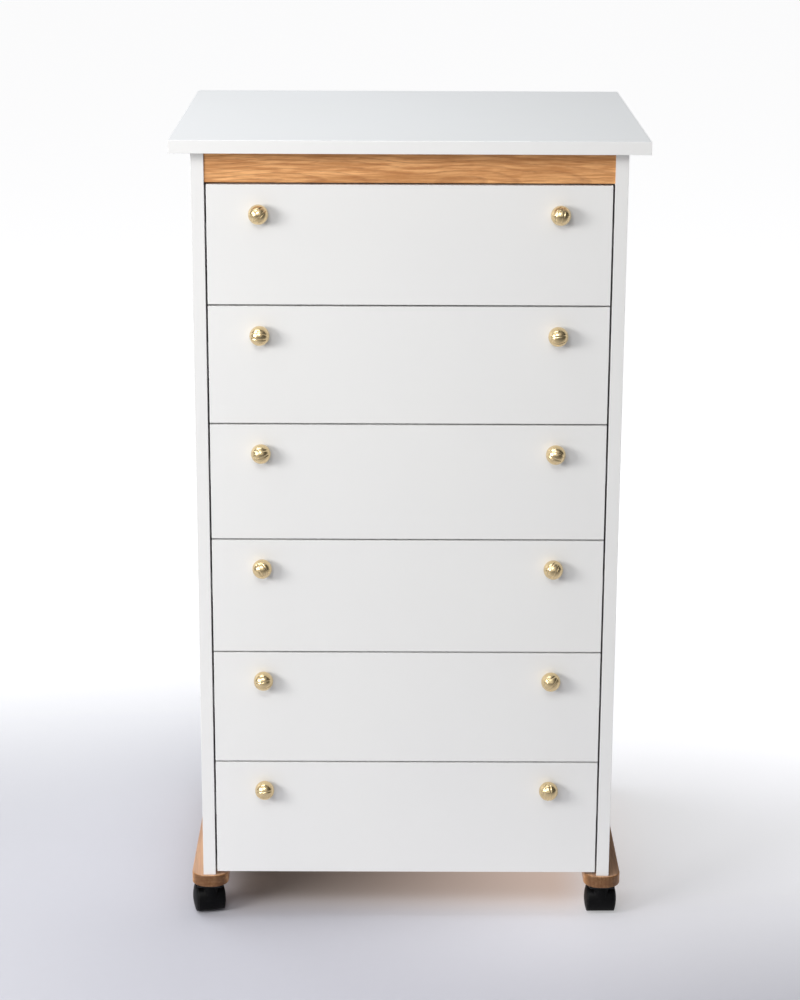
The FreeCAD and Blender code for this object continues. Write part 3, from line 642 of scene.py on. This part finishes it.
def floor_material():
    """A pale floor with painted light and shade: a blue-grey painted shade near the chest, a warm
    painted shadow below it and a darker painted shade well before it; it glows behind the chest as a
    backdrop, and glows to its right as painted light.
    """
    material, tree, shader = new_material("floor", Roughness=0.6, Specular_IOR_Level=0.2)
    place = make(tree, "ShaderNodeTexCoord").outputs["Object"]
    axes = make(tree, "ShaderNodeSeparateXYZ", {"Vector": place}).outputs
    reach = make(tree, "ShaderNodeVectorMath", {0: place, 1: SHADE_POOL_MIDDLE},
                 operation="DISTANCE").outputs["Value"]
    # Painted shade: a darker blue-grey pool on the floor near the chest.
    shade_pool = smooth_step(tree, reach, *SHADE_POOL_REACH)
    grain = make(tree, "ShaderNodeTexNoise", {"Vector": place, "Scale": 60.0, "Detail": 4.0})
    lighter = tuple(1.02 * part for part in FLOOR_NEAR_SHADE)
    near_shade = mix_colour(tree, grain.outputs["Fac"], FLOOR_NEAR_SHADE, lighter)
    # Painted shadow: a warm brown patch on the floor under the chest.
    under_shadow = within(tree, 1.0, (
        (axes["X"], *UNDER_LEFT), (axes["X"], *UNDER_RIGHT),
        (axes["Y"], *UNDER_FRONT), (axes["Y"], *UNDER_BACK)))
    # Painted shade: the floor well before the chest is darker, so it bounces less light onto the
    # lower fronts.
    front = smooth_step(tree, axes["Y"], *FRONT_SHADE_ALONG)
    pale = mix_colour(tree, under_shadow, mix_colour(tree, shade_pool, near_shade, FLOOR_FAR), FLOOR_UNDER_SHADOW)
    tree.links.new(mix_colour(tree, front, pale, FLOOR_FRONT_SHADE), shader["Base Color"])
    backdrop = within(tree, BACKDROP_GLOW, ((axes["Y"], *BACKDROP_ALONG),))
    # Painted light: the floor glows beside the chest and under its right side.
    fill_glow = within(tree, PAINTED_FILL_GLOW, (
        (axes["X"], *FILL_ACROSS), (axes["Y"], *FILL_ALONG), (axes["Y"], *FILL_FADE)))
    # Under the chest the glow is tinted warm, as painted bounce light.
    tree.links.new(mix_colour(tree, under_shadow, (1.0, 1.0, 1.0), UNDER_GLOW_TINT), shader["Emission Color"])
    tree.links.new(math_node(tree, "ADD", fill_glow, backdrop), shader["Emission Strength"])
    return material


def add_floor():
    mesh = bmesh.new()
    bmesh.ops.create_circle(mesh, cap_ends=True, segments=96, radius=FLOOR_RADIUS)
    data = bpy.data.meshes.new("floor")
    mesh.to_mesh(data)
    mesh.free()
    data.materials.append(floor_material())
    floor = bpy.data.objects.new("floor", data)
    bpy.context.collection.objects.link(floor)


# Each lamp: place, the point it looks at, width, height, power and colour.
LAMPS = {
    "key": ((-2.65, -2.25, 1.6), (0, -0.25, 0.95), 1.4, 1.1, 72.0, (1.0, 0.99, 0.98)),
    "upper": ((-0.4, -2.1, 2.1), (0, -0.25, 1.0), 0.8, 0.6, 13.0, (1.0, 1.0, 1.0)),
    "overhead": ((-0.75, 0.15, 3.0), (0, 0, 1.1), 1.8, 1.8, 49.0, (0.93, 0.96, 1.0)),
}
# Strength of the studio before the chest, low or to the right there, and behind the chest.
SKY_FRONT = 0.78
SKY_DIM = 0.11
SKY_BACK = 0.02
# Parts of a unit direction between which the strength changes: up, near the zenith, leftward
# and from back to front.
SKY_RISE = (-0.02, 0.16)
SKY_FALL = (1.0, 0.72)
SKY_LEFT = (0.75, 0.15)
SKY_FORWARD = (0.3, -0.3)


def add_lamp(name, place, target, width, height, power, colour):
    lamp = bpy.data.lights.new(name, "AREA")
    lamp.shape = "RECTANGLE"
    lamp.size = width
    lamp.size_y = height
    lamp.energy = power
    lamp.color = colour
    holder = bpy.data.objects.new(name, lamp)
    holder.location = place
    holder.rotation_euler = (Vector(target) - Vector(place)).to_track_quat("-Z", "Y").to_euler()
    bpy.context.collection.objects.link(holder)


def add_sky():
    """A studio that is bright before the chest from the horizon up, dim to its right."""
    world = bpy.data.worlds.new("studio")
    world.use_nodes = True
    tree = world.node_tree
    way = make(tree, "ShaderNodeTexCoord").outputs["Generated"]
    towards = make(tree, "ShaderNodeSeparateXYZ", {"Vector": way}).outputs
    strength = within(tree, SKY_FRONT - SKY_DIM, (
        (towards["Z"], *SKY_RISE), (towards["Z"], *SKY_FALL), (towards["X"], *SKY_LEFT)))
    strength = math_node(tree, "ADD", strength, SKY_DIM - SKY_BACK)
    front = smooth_step(tree, towards["Y"], *SKY_FORWARD)
    strength = math_node(tree, "ADD", math_node(tree, "MULTIPLY", strength, front), SKY_BACK)
    tree.links.new(strength, tree.nodes["Background"].inputs["Strength"])
    tree.nodes["Background"].inputs["Color"].default_value = (1, 1, 1, 1)
    bpy.context.scene.world = world


def add_lights():
    for name, settings in LAMPS.items():
        add_lamp(name, *settings)
    add_sky()
    bpy.context.scene.view_settings.view_transform = "Standard"


# ---------------------------------------------------------------------------
# The whole chest

add_camera()
materials = build_materials()
dress_nodes(materials)
build_knobs(materials["brass"])
build_casters(materials)
add_floor()
add_lights()
